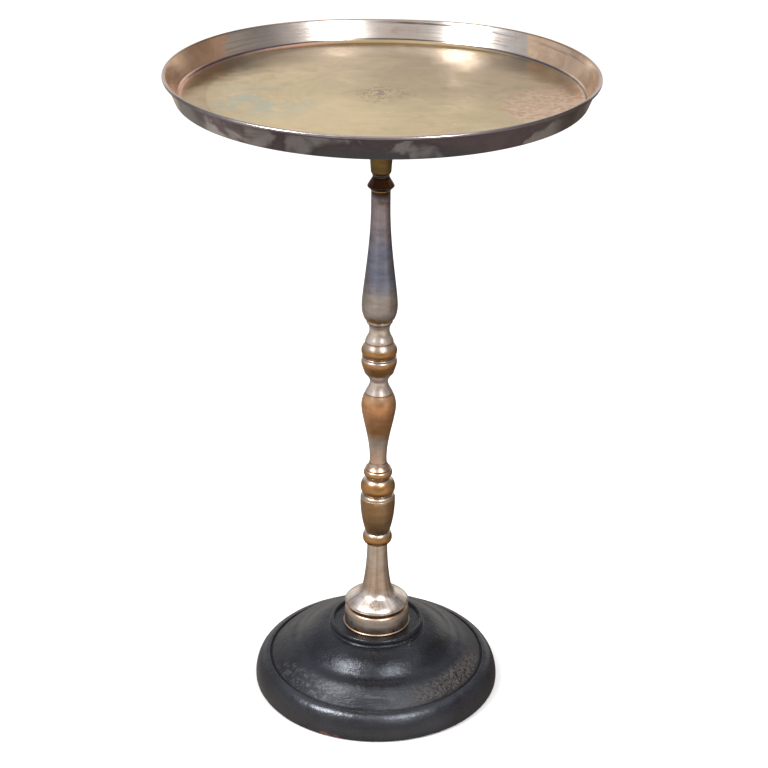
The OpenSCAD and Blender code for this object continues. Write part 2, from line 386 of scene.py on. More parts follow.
def ebonised_wood():
    """Black stain on turned wood: soft gloss, grain that runs along X and shows through, brown dust in
    the channel and pale rubs on the edges."""
    t = Tree(bpy.data.materials.new("ebonised_wood"))
    p, x, y, z = t.place()
    r = t.away(t.join(x, y, 0.0), (0, 0, 0))
    edge = t.attribute("edge")
    nook = t.attribute("nook")
    grain = t.noise(t.vector("MULTIPLY", p, (26.0, 420.0, 420.0)), 1.0, 5.0, 0.65, 0.35)
    pores = t.noise(t.vector("MULTIPLY", p, (90.0, 1600.0, 1600.0)), 1.0, 2.0, 0.7)
    cloud = t.noise(p, 22.0, 4.0, 0.6, 0.4)
    dabs = t.noise(p, 330.0, 4.0, 0.7, 0.5)
    motes = t.noise(p, 1000.0, 3.0, 0.7)
    lathe = t.noise(around(t, x, y, t.plus(r, z), 2.0, 900.0), 1.0, 3.0, 0.6)

    stain = t.mix(t.step(cloud, 0.3, 0.7), srgb(11, 11, 15), srgb(23, 24, 31))
    stain = t.mix(t.times(t.step(grain, 0.45, 0.7), 0.4), stain, srgb(36, 34, 36))
    stain = t.mix(t.times(t.step(pores, 0.6, 0.75), 0.5), stain, srgb(9, 9, 11))
    # In the channel between dome and foot, brown dust lies on the right; on the left the worn fibres are
    # painted lighter, a painted highlight where the left lamp falls
    ring = t.times(t.step(r, 0.090, 0.099), t.step(r, 0.112, 0.107))
    side = t.plus(t.times(x, 0.79), t.times(y, -0.61))
    dusty = t.times(ring, t.step(side, 0.078, 0.098))
    dusty = t.times(dusty, t.step(dabs, 0.38, 0.60, 0.1, 0.8))
    dusty = t.times(dusty, t.step(motes, 0.42, 0.58, 0.1, 1.0))
    tone = t.mix(dusty, stain, srgb(100, 92, 85))
    # Painted highlight: the front left of the channel is lightened along the grain.
    side = t.plus(t.times(x, -0.5), t.times(y, -0.86))
    fibre = t.times(ring, t.step(side, 0.07, 0.096))
    fibre = t.times(fibre, t.step(grain, 0.5, 0.62))
    tone = t.mix(t.times(fibre, 0.5), tone, srgb(92, 90, 94))
    rub = t.times(t.step(edge, 0.3, 0.9), t.step(dabs, 0.45, 0.7))
    tone = t.mix(t.times(rub, 0.4), tone, srgb(104, 98, 96))
    # Rubs beside the lip, and one chip at the bottom edge that shows the bare wood
    scuff = t.away(p, RUB_AT)
    scuff = t.times(t.step(scuff, 0.016, 0.004), t.step(motes, 0.56, 0.66))
    tone = t.mix(t.times(scuff, 0.5), tone, srgb(128, 128, 132))
    chip = t.away(p, CHIP_AT)
    chip = t.times(t.step(chip, 0.014, 0.006), t.step(dabs, 0.47, 0.55))
    chip = t.times(chip, t.step(z, 0.006, 0.003))
    tone = t.mix(chip, tone, srgb(122, 66, 52))
    # Painted shade: inner corners are darkened.
    tone = t.mix(t.step(nook, 0.25, 0.95, 0.0, 0.85), tone, srgb(12, 11, 12))

    gloss = t.step(cloud, 0.3, 0.72, 0.24, 0.34)
    gloss = t.plus(gloss, t.times(dusty, 0.35), clamp=True)
    # The channel is duller than the dome
    gloss = t.plus(gloss, t.times(t.step(r, 0.086, 0.098), t.step(r, 0.112, 0.108, 0.0, 0.12)))
    gloss = t.plus(gloss, t.times(t.minus(dabs, 0.5), 0.22), clamp=True)
    height = t.plus(t.times(grain, 1.2), t.times(pores, -0.5))
    height = t.plus(height, t.times(dabs, 0.9))
    height = t.plus(height, t.times(lathe, 0.7))
    # The front of the foot moulding is polished by handling
    handled = t.times(t.step(r, 0.109, 0.112), t.step(y, -0.02, -0.08))
    shine = t.plus(0.5, t.times(handled, 0.4))
    normal = t.bump(height, 0.00012)
    normal = t.bump(t.noise(p, 70.0, 3.0, 0.6), 0.0006, 1.0, normal)
    return t.surface({"Base Color": tone, "Metallic": 0.0, "Roughness": gloss, "Normal": normal,
                      "Specular IOR Level": shine, "Specular Tint": (0.84, 0.90, 1.0, 1.0)})


BRIGHT_AT = (-0.06, -0.075)       # places on the tray's floor, in metres from its middle
BLUE_AT = (-0.115, -0.03)
PINK_AT = (0.186, -0.035)
GREEN_AT = (0.135, -0.083)
DULL_AT = (0.085, 0.075)
TARNISH_LINE = 0.74               # share of the wall's height
SCUFF_R = 0.042                   # reach of the scuffed middle


def tray_metal():
    """Spun brass: a golden floor with blue patina and painted reflections on it (a pink netted patch, an
    olive band along the wall, a pale green spot), and a silvered wall brushed round the rim, with a dark
    tarnish line and a dark fold at its foot that is a painted reflection. Outside, the dark plate carries
    painted highlights."""
    t = Tree(bpy.data.materials.new("tray_brass"))
    p, x, y, z = t.place()
    r = t.away(t.join(x, y, 0.0), (0, 0, 0))
    edge = t.attribute("edge")
    nook = t.attribute("nook")
    floor_z = (low("tray") + SHEET) * MM
    depth = high("tray") * MM - floor_z
    floor_r = (reach("tray") - WALL_WIDE) * MM
    wall = t.step(z, floor_z + 0.0012, floor_z + 0.0026)
    cloud = t.noise(p, 9.0, 4.0, 0.6, 0.8)
    small = t.noise(p, 55.0, 5.0, 0.62, 0.6)
    mild = t.noise(p, 26.0, 3.0, 0.5, 0.5)
    specks = t.noise(p, 620.0, 3.0, 0.7)
    rings = t.noise(around(t, x, y, r, 1.4, 900.0), 1.0, 3.0, 0.6)
    brush = t.noise(around(t, x, y, z, 3.0, 4200.0), 1.0, 3.0, 0.65)
    brush_broad = t.noise(around(t, x, y, z, 2.2, 700.0), 1.0, 3.0, 0.6)

    spoke = t.vector("NORMALIZE", t.join(x, y, 0.0))
    outward = t.vector("DOT_PRODUCT", t.put("TexCoord", out=1), spoke, out=1)
    outside = t.step(outward, 0.2, 0.5)
    ends = t.math("ABSOLUTE", x)

    golden = t.mix(t.step(cloud, 0.36, 0.66), srgb(215, 193, 150), srgb(196, 176, 136))
    golden = t.mix(t.step(small, 0.5, 0.72, 0.0, 0.35), golden, srgb(182, 162, 118))
    bright = t.away(p, (*BRIGHT_AT, floor_z))
    golden = t.mix(t.step(bright, 0.10, 0.03, 0.0, 0.6), golden, srgb(236, 213, 167))
    # Patina: a blue-green cloud to the left and rosy bands at the back; the pink netted cloud to the right
    # is a painted reflection
    blue = t.step(t.away(p, (*BLUE_AT, floor_z)), 0.01, 0.075, 1.0, 0.0)
    pink = t.step(t.away(p, (*PINK_AT, floor_z)), 0.070, 0.082, 1.0, 0.0)
    golden = t.mix(t.times(blue, t.step(mild, 0.40, 0.56, 0.0, 0.75)), golden, srgb(172, 182, 168))
    golden = t.mix(t.times(pink, t.step(specks, 0.4, 0.62, 0.5, 0.95)), golden, srgb(196, 152, 124))
    bands = t.noise(t.join(x, t.times(y, 6.0), z), 14.0)
    back = t.times(t.step(y, 0.01, 0.09), t.step(bands, 0.42, 0.62))
    golden = t.mix(t.times(back, 0.5), golden, srgb(206, 176, 148))
    # Painted reflection: pink netted dots in the patch to the right
    dots = t.put("TexVoronoi", {"Vector": t.vector("MULTIPLY", p, (1.0, 1.0, 0.0)), "Scale": 175.0})
    net = t.times(t.step(dots, 0.34, 0.62), t.step(small, 0.36, 0.6, 0.1, 0.5))
    golden = t.mix(t.times(pink, net), golden, srgb(238, 212, 190))
    golden = t.mix(t.step(rings, 0.42, 0.7, 0.0, 0.16), golden, srgb(168, 146, 100))
    # A pale green spot at the front right is a painted reflection; a dull patch at the back right, and a
    # duller left edge
    spot = t.away(p, (*GREEN_AT, floor_z))
    spot = t.plus(spot, t.times(t.minus(small, 0.5), 0.022))
    golden = t.mix(t.step(spot, 0.010, 0.001, 0.0, 0.7), golden, srgb(206, 212, 168))
    dull = t.away(p, (*DULL_AT, floor_z))
    dull = t.plus(dull, t.times(t.minus(mild, 0.5), 0.08))
    golden = t.mix(t.step(dull, 0.14, 0.05, 0.0, 0.72), golden, srgb(156, 132, 98))
    golden = t.mix(t.step(x, -0.13, -0.165, 0.0, 0.4), golden, srgb(170, 150, 112))
    # Painted reflection of the wall: an olive band along it, widest on the left, with a rosy ledge outside
    # it
    rim_side = t.plus(r, t.times(x, -0.1))
    border = t.step(rim_side, floor_r - 0.008, floor_r - 0.004)
    border = t.times(border, t.step(x, 0.16, -0.06, 0.3, 0.85))
    golden = t.mix(border, golden, srgb(174, 150, 112))
    ledge = t.times(t.step(r, floor_r - 0.0005, floor_r + 0.0005), t.step(x, -0.02, -0.1))
    golden = t.mix(t.times(ledge, 0.8), golden, srgb(210, 160, 136))
    # Rubbed and scratched middle, over the socket
    core = t.step(r, 0.01, SCUFF_R, 1.0, 0.0)
    swirl = t.noise(t.join(t.times(x, 0.7), y, t.times(r, 2.0)), 130.0, 5.0, 0.7, 2.6)
    scuff = t.times(core, t.step(swirl, 0.5, 0.57))
    golden = t.mix(t.times(scuff, 0.8), golden, srgb(128, 108, 74))

    silver = t.mix(t.step(brush_broad, 0.38, 0.68), srgb(222, 217, 212), srgb(192, 184, 176))
    silver = t.mix(t.step(small, 0.5, 0.72, 0.0, 0.5), silver, srgb(196, 176, 154))
    silver = t.mix(t.step(brush, 0.55, 0.8, 0.0, 0.3), silver, srgb(138, 128, 120))
    # The silver has worn to copper at both ends, with clear borders
    ragged = t.plus(x, t.times(t.minus(mild, 0.5), 0.03))
    copper = t.math("MAXIMUM", t.step(ragged, -0.150, -0.162), t.step(x, 0.141, 0.146))
    pale = t.mix(t.step(x, 0.0, 0.1), srgb(250, 212, 180), srgb(255, 226, 198))
    rosy = t.mix(t.step(small, 0.4, 0.65), pale, t.mix(0.22, pale, srgb(150, 110, 88)))
    silver = t.mix(t.times(copper, 0.96), silver, rosy)
    # Blue-black tarnish in a broken line high on the wall, at the back
    line_z = floor_z + depth * TARNISH_LINE
    off = t.math("ABSOLUTE", t.minus(z, line_z))
    strip = t.times(t.step(off, 0.0016, 0.0003), t.step(brush_broad, 0.44, 0.56))
    strip = t.times(strip, t.times(t.step(y, 0.02, 0.09), t.step(x, -0.03, 0.02)))
    silver = t.mix(t.times(strip, 0.85), silver, srgb(52, 54, 70))
    tone = t.mix(wall, golden, silver)
    # Painted reflection: a thin blue-grey line in the fold round the back and the right
    fold = t.step(z, floor_z + 0.0004, floor_z + 0.0009)
    fold = t.times(fold, t.step(z, floor_z + 0.0022, floor_z + 0.0016))
    fold = t.times(fold, t.math("MAXIMUM", t.step(y, 0.0, 0.08, 0.15, 1.0), t.step(x, 0.02, 0.1)))
    tone = t.mix(t.times(fold, t.step(small, 0.25, 0.55, 0.5, 0.9)), tone, srgb(88, 94, 110))
    # Outside, the plate has gone dark and purplish, greener low at the front; its light patches, and its
    # bright ends behind a dark band, are painted highlights
    tarnish = t.mix(t.step(mild, 0.38, 0.64), srgb(170, 156, 160), srgb(132, 120, 124))
    green = t.times(t.step(y, -0.17, -0.19), t.step(z, floor_z + 0.012, floor_z + 0.006))
    tarnish = t.mix(t.times(green, 0.5), tarnish, srgb(128, 156, 152))
    tarnish = t.mix(t.step(mild, 0.5, 0.62, 0.0, 0.85), tarnish, srgb(246, 246, 244))
    tarnish = t.mix(t.step(ends, 0.145, 0.162, 0.0, 0.8), tarnish, srgb(100, 92, 92))
    tarnish = t.mix(t.step(ends, 0.178, 0.186), tarnish, srgb(255, 242, 230))
    tarnish = t.mix(t.step(brush, 0.6, 0.75, 0.0, 0.4), tarnish, srgb(206, 196, 190))
    tone = t.mix(outside, tone, tarnish)
    lip = t.mix(t.step(y, 0.05, -0.02), srgb(150, 118, 86), srgb(146, 140, 144))
    tone = t.mix(t.step(edge, 0.3, 0.5, 0.0, 0.85), tone, lip)
    # Painted shade: inner corners are darkened
    tone = t.mix(t.step(nook, 0.4, 0.9, 0.0, 0.75), tone, srgb(46, 42, 48))
    tone = t.mix(t.step(specks, 0.7, 0.8, 0.0, 0.45), tone, srgb(80, 70, 58))

    rough_floor = t.step(small, 0.3, 0.7, 0.13, 0.24)
    rough_wall = t.step(brush_broad, 0.3, 0.7, 0.16, 0.27)
    gloss = t.put("Mix", {0: wall, 2: rough_floor, 3: rough_wall}, data_type="FLOAT")
    gloss = t.plus(gloss, t.times(scuff, 0.2), clamp=True)
    brushed = t.times(brush, t.minus(0.8, t.times(outside, 0.6)))
    height = t.put("Mix", {0: wall, 2: t.times(rings, 0.35), 3: brushed}, data_type="FLOAT")
    height = t.plus(height, t.times(specks, 0.12))
    height = t.plus(height, t.times(t.times(core, swirl), 0.9))
    normal = t.bump(height, 0.00003)
    normal = t.bump(t.noise(p, 16.0, 2.0, 0.5), 0.0009, 1.0, normal)
    return t.surface({"Base Color": tone, "Metallic": 1.0, "Roughness": gloss, "Normal": normal})


def cloth(name, colour, dark, weave):
    """Pressed cloth or fibre: fuzzy, matt, uneven. weave is how fine the fuzz is."""
    t = Tree(bpy.data.materials.new(name))
    p = t.place()[0]
    fuzz = t.noise(p, weave, 4.0, 0.75, 1.5)
    cloud = t.noise(p, weave * 0.02, 4.0, 0.6)
    tone = t.mix(t.step(fuzz, 0.35, 0.7), dark, colour)
    tone = t.mix(t.step(cloud, 0.4, 0.7, 0.0, 0.4), tone, tuple(c * 0.6 for c in colour))
    rough = t.step(fuzz, 0.3, 0.7, 0.8, 0.98)
    return t.surface({"Base Color": tone, "Roughness": rough, "Normal": t.bump(fuzz, 0.0004),
                      "Sheen Weight": 0.35, "Sheen Roughness": 0.5})


PALE_SILVER = srgb(238, 228, 220)
SILVER = srgb(214, 202, 190)
WARM_SILVER = srgb(205, 186, 168)
GREY_SILVER = srgb(164, 156, 166)
BLUE_SILVER = srgb(140, 151, 178)
GOLD = srgb(206, 172, 118)
BRONZE = srgb(196, 152, 100)
COPPER = srgb(222, 168, 124)
PALE_COPPER = srgb(240, 200, 162)
BROWN = srgb(150, 116, 84)
CUP_BROWN = srgb(176, 140, 94)
OLIVE = srgb(120, 100, 62)
OLD_BRASS = srgb(92, 68, 50)
DARK = srgb(70, 58, 60)
SHADED_COPPER = srgb(74, 54, 48)
GREY_WARM = srgb(190, 185, 182)
STEEL = srgb(150, 150, 152)
DULL_STEEL = srgb(120, 112, 106)
# Dirt, and painted shade in inner corners and joints
DIRT_AND_SHADE = srgb(46, 38, 32)

# Each turned piece's look; the heights in a body are millimetres above the floor
LOOKS = {
    "base_collar": {"body": [(68.2, OLD_BRASS), (69.4, COPPER), (72, GREY_WARM)], "crown": WARM_SILVER,
                    "bare": BRONZE, "worn": 0.25, "streak": 0.35, "grime_and_shade": 0.9, "rough": (0.3, 0.45)},
    "trumpet_foot": {"body": [(91, GOLD), (92, WARM_SILVER), (150, SILVER)], "crown": PALE_SILVER,
                     "bare": BROWN, "worn": 0.4, "streak": 0.5},
    "lower_ring": {"body": [(168, BRONZE)], "crown": SILVER, "bare": BRONZE, "crown_from": 0.3},
    "lower_cup": {"body": [(176, CUP_BROWN), (213, CUP_BROWN), (214, GOLD)], "crown": SILVER,
                  "bare": GREY_WARM, "lines": 1.4, "worn": 0.28},
    "lower_ball": {"body": [(226, BRONZE)], "crown": SILVER, "bare": COPPER, "crown_from": 0.5},
    "neck_ring": {"body": [(240, BRONZE), (248, COPPER), (253, SILVER)], "crown": WARM_SILVER,
                  "bare": COPPER, "crown_from": 0.4},
    "vase": {"body": [(280, SILVER), (292, BRONZE), (310, COPPER), (328, COPPER), (331, SILVER)],
             "crown": PALE_COPPER, "bare": COPPER, "worn": 0.4, "crown_from": 0.1},
    "vase_spool": {"body": [(333, GOLD), (337, PALE_SILVER)], "crown": PALE_SILVER, "bare": BROWN,
                   "worn": 0.3},
    "upper_cup": {"body": [(354, SILVER), (355, BRONZE), (370, BRONZE), (371, SILVER)], "crown": SILVER,
                  "bare": COPPER},
    "upper_ball": {"body": [(378, BRONZE)], "crown": SILVER, "bare": COPPER, "crown_from": 0.3},
    "neck_bell": {"body": [(387.5, GOLD), (389, PALE_SILVER)], "crown": PALE_SILVER, "bare": BROWN,
                  "worn": 0.25},
    "shaft_ring": {"body": [(409, SILVER)], "crown": SILVER, "bare": BROWN},
    "upper_shaft": {"body": [(412, GOLD), (420, GREY_WARM), (432, GREY_WARM), (456, BLUE_SILVER),
                             (480, BLUE_SILVER), (515, GREY_SILVER), (528, GREY_SILVER), (544, DARK)],
                    "crown": GREY_SILVER, "bare": BROWN, "worn": 0.3, "lines": 1.6},
    # Painted shade and a painted dark reflection: the collar under the tray is coloured dark.
    "top_collar": {"body": [(544.6, BRONZE), (545.6, SHADED_COPPER)], "crown": SHADED_COPPER, "bare": COPPER,
                   "rough": (0.10, 0.18), "worn": 0.35},
    "tray_socket": {"body": [(600, OLIVE)], "crown": OLIVE, "bare": BROWN, "rough": (0.3, 0.42),
                    "lines": 1.5},
    "swivel_spigot": {"body": [(556, DARK)], "crown": DARK, "bare": BROWN},
    "steel": {"body": [(0, STEEL)], "crown": STEEL, "bare": DULL_STEEL},
    "rim_wire": {"body": [(0, GOLD)], "crown": GOLD, "bare": BRONZE},
}


# ---------------------------------------------------------------- the column, bottom to top

BORE = 4.25                       # radius of the hole for the rod
COLUMN_SIDES = 160

seat = low("base_collar")
foot = low("trumpet_foot")
ring = low("lower_ring")
cup = low("lower_cup")
ball = low("lower_ball")
neck = low("neck_ring")
vase = low("vase")
spool = low("vase_spool")
upper_cup = low("upper_cup")
bead = low("upper_ball")
bell = low("neck_bell")
shaft_ring = low("shaft_ring")
shaft = low("upper_shaft")
knop = low("top_collar")
peg = low("swivel_spigot")

# Each piece's top, and its outline from bottom to top
COLUMN = {
    "base_collar": (foot, (
        [(34.5, seat)]
        + arc(34.2, seat + 0.7, 0.7, 0.7, -60, 80)
        + [(33.8, seat + 1.8), (33.4, foot - 9)]
        + arc(29.4, foot - 9, 4, 5, 0, 82)
        + [(28.6, foot - 3.6), (28, foot - 3), (28, foot)])),
    "trumpet_foot": (ring, (
        [(28.6, foot), (28.6, foot + 0.6), (33, foot + 0.6)]
        + arc(33, foot + 1.1, 0.5, 0.5, -70, 80, 8)
        + curve((32.9, foot + 1.7), (31.9, foot + 4.8), (25.4, foot + 7.6), (20.8, foot + 10.4))
        + curve((20.8, foot + 10.4), (17.4, foot + 12.5), (15.6, foot + 15.5), (15, foot + 19.3))[1:]
        + curve((15, foot + 19.3), (11.6, foot + 35.8), (10.5, foot + 55.8), (10.4, ring))[1:])),
    "lower_ring": (cup, (
        [(10.6, ring)]
        + arc(10.4, ring + 6.6, 4.75, 6.6, -84, 0)
        + arc(10.4, ring + 6.6, 4.75, 7.2, 3, 78)
        + [(11.8, cup)])),
    "lower_cup": (ball, (
        [(12.2, cup), (12.7, cup + 0.4)]
        + curve((12.8, cup + 0.8), (15.6, cup + 9.8), (17.8, cup + 22.8), (17.8, cup + 34.8))
        + [(17.7, ball - 4.2), (17.4, ball - 3.8)]
        + arc(14.6, ball - 3.8, 2.7, 3.4, 10, 84)
        + [(14.6, ball)])),
    "lower_ball": (neck, (
        [(14.4, ball)]
        + arc(9.5, ball + 7.4, 8.15, 9.5, -50, 0)
        + arc(9.5, ball + 7.4, 8.15, 10.8, 3, 76)
        + [(11.4, neck - 0.6), (11.6, neck)])),
    "neck_ring": (vase, (
        [(11.9, neck)]
        + arc(11.4, neck + 4.4, 3.2, 4, -72, 74)
        + [(12.5, neck + 8.7), (13, neck + 9.3)]
        + curve((13, neck + 9.6), (11.2, neck + 11.4), (9.6, neck + 13.2), (9.15, vase - 0.4))
        + [(8.9, vase)])),
    "vase": (spool, (
        [(8.7, vase), (8.9, vase + 0.4), (8.9, vase + 1.2), (8.66, vase + 1.8)]
        + curve((8.65, vase + 6), (8.65, vase + 27), (17.5, vase + 52), (17.5, vase + 64), 48)
        + curve((17.5, vase + 64), (17.5, vase + 69.5), (15.4, vase + 75.3), (14, spool))[1:])),
    "vase_spool": (upper_cup, (
        [(13.5, spool), (13.9, spool + 0.5)]
        + curve((13.8, spool + 0.9), (12.2, spool + 4), (9.1, spool + 8.6), (9.1, spool + 12.4))
        + curve((9.1, spool + 12.4), (9.1, spool + 15.8), (12, spool + 19.8), (14, upper_cup - 0.5))[1:]
        + [(14, upper_cup)])),
    "upper_cup": (bead, (
        [(13.8, upper_cup), (14.5, upper_cup + 0.3)]
        + curve((14.7, upper_cup + 0.7), (16, upper_cup + 5.4), (17.8, upper_cup + 9),
                (17.8, upper_cup + 12.6))
        + arc(15, upper_cup + 12.8, 2.8, 3.6, 2, 52)
        + [(16.5, bead - 2.8), (16.5, bead - 2.3)]
        + arc(16.4, bead - 1.4, 0.9, 0.8, -60, 80)
        + [(15.8, bead - 0.4), (15.8, bead)])),
    "upper_ball": (bell, (
        [(15.8, bead), (16.2, bead + 0.3)]
        + arc(12.4, bead + 5.2, 5.4, 7, -44, 0)
        + curve((17.8, bead + 5.6), (17.7, bead + 9.2), (14.8, bead + 11.8), (13.6, bell)))),
    "neck_bell": (shaft_ring, (
        [(13.4, bell), (14, bell + 0.3), (14.1, bell + 1)]
        + curve((14, bell + 1.5), (13.2, bell + 5), (10.1, bell + 7.6), (10.05, bell + 12.8))
        + curve((10.05, bell + 12.8), (10.05, bell + 15.4), (10.8, bell + 17.8), (11.8, shaft_ring))[1:])),
    "shaft_ring": (shaft, (
        [(11.6, shaft_ring)]
        + arc(11, shaft_ring + 2.3, 2.1, 2.3, -76, 76)
        + [(11.6, shaft)])),
    "upper_shaft": (knop, (
        [(13.7, shaft), (14.4, shaft + 0.5)]
        + arc(9.6, shaft + 14.4, 8.2, 17.5, -50, 0, 30)
        + curve((17.8, shaft + 14.4), (17.8, shaft + 29.4), (9.35, shaft + 74.1), (9.35, shaft + 118.4),
                60)[1:]
        + [(9.35, knop)])),
    "top_collar": (peg, (
        [(9.3, knop), (9.7, knop + 0.4)]
        + [(9.8, knop + 1.2), (12.4, knop + 3.8)]
        + arc(12, knop + 5, 1.1, 1.1, -50, 40)
        + [(12.3, knop + 6.8), (8.6, peg - 0.4), (8.4, peg)])),
}

for name, (top, skin) in COLUMN.items():
    bore = [(BORE, top), (BORE, low(name))]
    metal = turned_metal(name, LOOKS[name])
    turned(name + "_turned", skin, bore, COLUMN_SIDES, "stand", [name], metal)


# ---------------------------------------------------------------- wooden base

BROAD_WAVE = 0.00028              # unevenness of the wood, in metres
FINE_WAVE = 0.00012


def base_wobble(a, r, z):
    """The slight unevenness of a hand-turned and handled base, which still stands flat."""
    spot = Vector((math.cos(a) * r, math.sin(a) * r, z))
    push = noise.noise(spot * 24) * BROAD_WAVE + noise.noise(spot * 75) * FINE_WAVE
    off_floor = min(1.0, max(0.0, (z - 0.004) / 0.01))
    return push, push * 0.5 * off_floor


BASE_SIDES = 288
FOOT_WIDE = 15                    # the rounded lower moulding, in plan
FOOT_TALL = 22.7
FOOT_Z = 5                        # height of the moulding's widest part
REBATE = 7.5                      # how far in from the edge the pad's recess starts
ARRIS = 2.5                       # rounding of the bottom edge
WELL_R = 19                       # counterbore for the washer and nut
WELL_TOP = 17
SEAT_R = 44                       # flat seat for the collar
HIDDEN_R = 36                     # inside this the seat is under the collar
GROOVE_IN = 1.3                   # the groove beside the moulding: how far in and how deep
GROOVE_DEEP = 1.8

base_r = reach("wooden_base")
wood = low("wooden_base")
pad = high("baize_pad")
foot_c = base_r - FOOT_WIDE
groove_r = foot_c - GROOVE_IN
groove_z = FOOT_Z + FOOT_TALL - GROOVE_DEEP
base_skin = (
    [(base_r - REBATE, pad), (base_r - REBATE, wood)]
    + arc(base_r - ARRIS, wood + ARRIS, ARRIS, ARRIS, -90, 0)
    + arc(foot_c, FOOT_Z, FOOT_WIDE, FOOT_TALL, 2, 90, 48)
    + [(groove_r, groove_z)]
    + curve((groove_r - 1.3, groove_z + 2.2), (104, 34.5), (96, 42.6), (88, 44.8), 40)
    + curve((88, 44.8), (85, 45.6), (82, 47), (79, 49.6), 20)[1:]
    + curve((79, 49.6), (73, 55.2), (64, 62), (50.4, 62.8), 48)[1:]
    + [(49.2, 63.6)]
    + arc(46.6, 66.6, 2.4, 2.9, -40, 150)
    + [(SEAT_R, seat + 0.4), (SEAT_R - 0.6, seat), (HIDDEN_R, seat)])
base_back = [(BORE, seat), (BORE, WELL_TOP), (WELL_R, WELL_TOP), (WELL_R, pad)]
turned("base_turned", base_skin, base_back, BASE_SIDES, "stand", ["wooden_base"],
       ebonised_wood(), base_wobble, 0.5, False)


# ---------------------------------------------------------------- tray

TRAY_SIDES = 384
WIRE = 0.8                        # radius of the wire in the rim
FLARE = 9.2                       # how far the wall leans out
SEAM_BEND = 1.6                   # bend under the floor's edge
COVE_BEND = 6.6                   # softer bend inside it
FLOOR_RINGS = 16                  # rings of points across the floor, and how far apart
RING_STEP = 12.0
BACK_SAG = 0.0033                 # how low the back of the rim hangs, in metres
SAG_FROM = 0.12                   # radii in metres between which the sag grows
SAG_OVER = 0.065
RIM_WAVE = 0.00012                # unevenness of the rim and of the floor, in metres
FLOOR_WAVE = 0.0002
ROUND_R = 0.2                     # the tray's radius in round figures, in metres

curl = WIRE + 0.05 + SHEET / 2
curl_wide = curl + SHEET / 2
rim_r = reach("tray") - curl_wide
rim_z = high("tray") - curl_wide
tray_under = low("tray")
tray_tall = high("tray") - tray_under
lean = math.degrees(math.atan2(FLARE, rim_z - tray_under))


def tray_wobble(a, r, z):
    """Spun sheet is never quite true: the rim waves a little, the tray sags at the back, and the floor
    is not quite flat. The wave goes inwards only, so the tray never outgrows its CAD size."""
    spot = Vector((math.cos(a) * r, math.sin(a) * r, 0))
    far = r / ROUND_R
    wave = (noise.noise(spot * 9 + Vector((3, 1, 0))) - 1) * RIM_WAVE * far * far
    floor = noise.noise(spot * 11) * FLOOR_WAVE * (1 - min(1, far) ** 6)
    climb = min(1.0, max(0.0, (z / MM - tray_under) / (tray_tall - 2 * curl_wide)))
    outer = min(1.0, max(0.0, (r - SAG_FROM) / SAG_OVER))
    back = max(0.0, math.sin(a)) ** 6
    sag = BACK_SAG * back * outer * outer * (3 - 2 * outer) * (0.6 + 0.4 * climb)
    return wave, floor - sag


def sheet_path(bend):
    """Middle line of the sheet: floor, bend, leaning wall, then the curl round the wire."""
    corner = rim_r - FLARE - bend
    return (
        [(RING_STEP * k, tray_under + SHEET / 2) for k in range(FLOOR_RINGS)]
        + [(corner - 0.4, tray_under + SHEET / 2)]
        + arc(corner, tray_under + SHEET / 2 + bend, bend, bend, -88, -lean, 20)
        + arc(rim_r, rim_z, curl, curl, 180 - lean, -90 - lean, 40))


def beside(path, offset):
    """The path moved sideways by offset, to its left."""
    out = []
    for i, p in enumerate(path):
        a = Vector(path[max(i - 1, 0)])
        b = Vector(path[min(i + 1, len(path) - 1)])
        d = (b - a).normalized()
        out.append((max(0.0, p[0] - d.y * offset), p[1] + d.x * offset))
    return out


inside = list(reversed(beside(sheet_path(COVE_BEND), SHEET / 2)))
outside = beside(sheet_path(SEAM_BEND), -SHEET / 2)
turned("tray_spun", inside + outside, [], TRAY_SIDES, "tray_top", ["tray"], tray_metal(),
       tray_wobble, 0.15, False)
turned("rim_wire_bent", arc(rim_r, rim_z, WIRE, WIRE, -90, 260, 35), [], TRAY_SIDES, "tray_top",
       ["rim_wire"], turned_metal("rim_wire", LOOKS["rim_wire"]), tray_wobble, 0.15,
       False)


# ---------------------------------------------------------------- socket under the tray

SOCKET_BORE = 6.55
mouth = low("tray_socket")
flange_r = reach("tray_socket")
flange_z = tray_under - 2.6
socket_skin = (
    [(SOCKET_BORE, mouth), (8.6, mouth), (9.8, mouth + 2.2), (10.1, mouth + 6), (11, mouth + 20)]
    + curve((11, mouth + 20), (13, mouth + 46), (14, tray_under - 12), (24, tray_under - 5), 40)[1:]
    + curve((24, tray_under - 5), (28, tray_under - 3.4), (34, flange_z), (flange_r - 1, flange_z))[1:]
    + [(flange_r, flange_z + 1), (flange_r, tray_under)])
turned("tray_socket_turned", socket_skin, [(SOCKET_BORE, tray_under)], COLUMN_SIDES, "tray_top",
       ["tray_socket"], turned_metal("tray_socket", LOOKS["tray_socket"]))


# ---------------------------------------------------------------- CAD nodes that stay, with better materials

steel = turned_metal("plain_steel", LOOKS["steel"])
KEPT = {
    "baize_pad": cloth("baize", srgb(38, 74, 50), srgb(18, 40, 27), 2600.0),
    "swivel_washer": cloth("fibre", srgb(62, 44, 34), srgb(34, 24, 18), 1800.0),
    "base_washer": steel,
    "base_nut": steel,
    "tie_rod": steel,
    "swivel_spigot": turned_metal("spigot_steel", LOOKS["swivel_spigot"]),
}
for node, material in KEPT.items():
    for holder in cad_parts[node].material_slots:
        holder.material = material


# ---------------------------------------------------------------- floor, light and camera

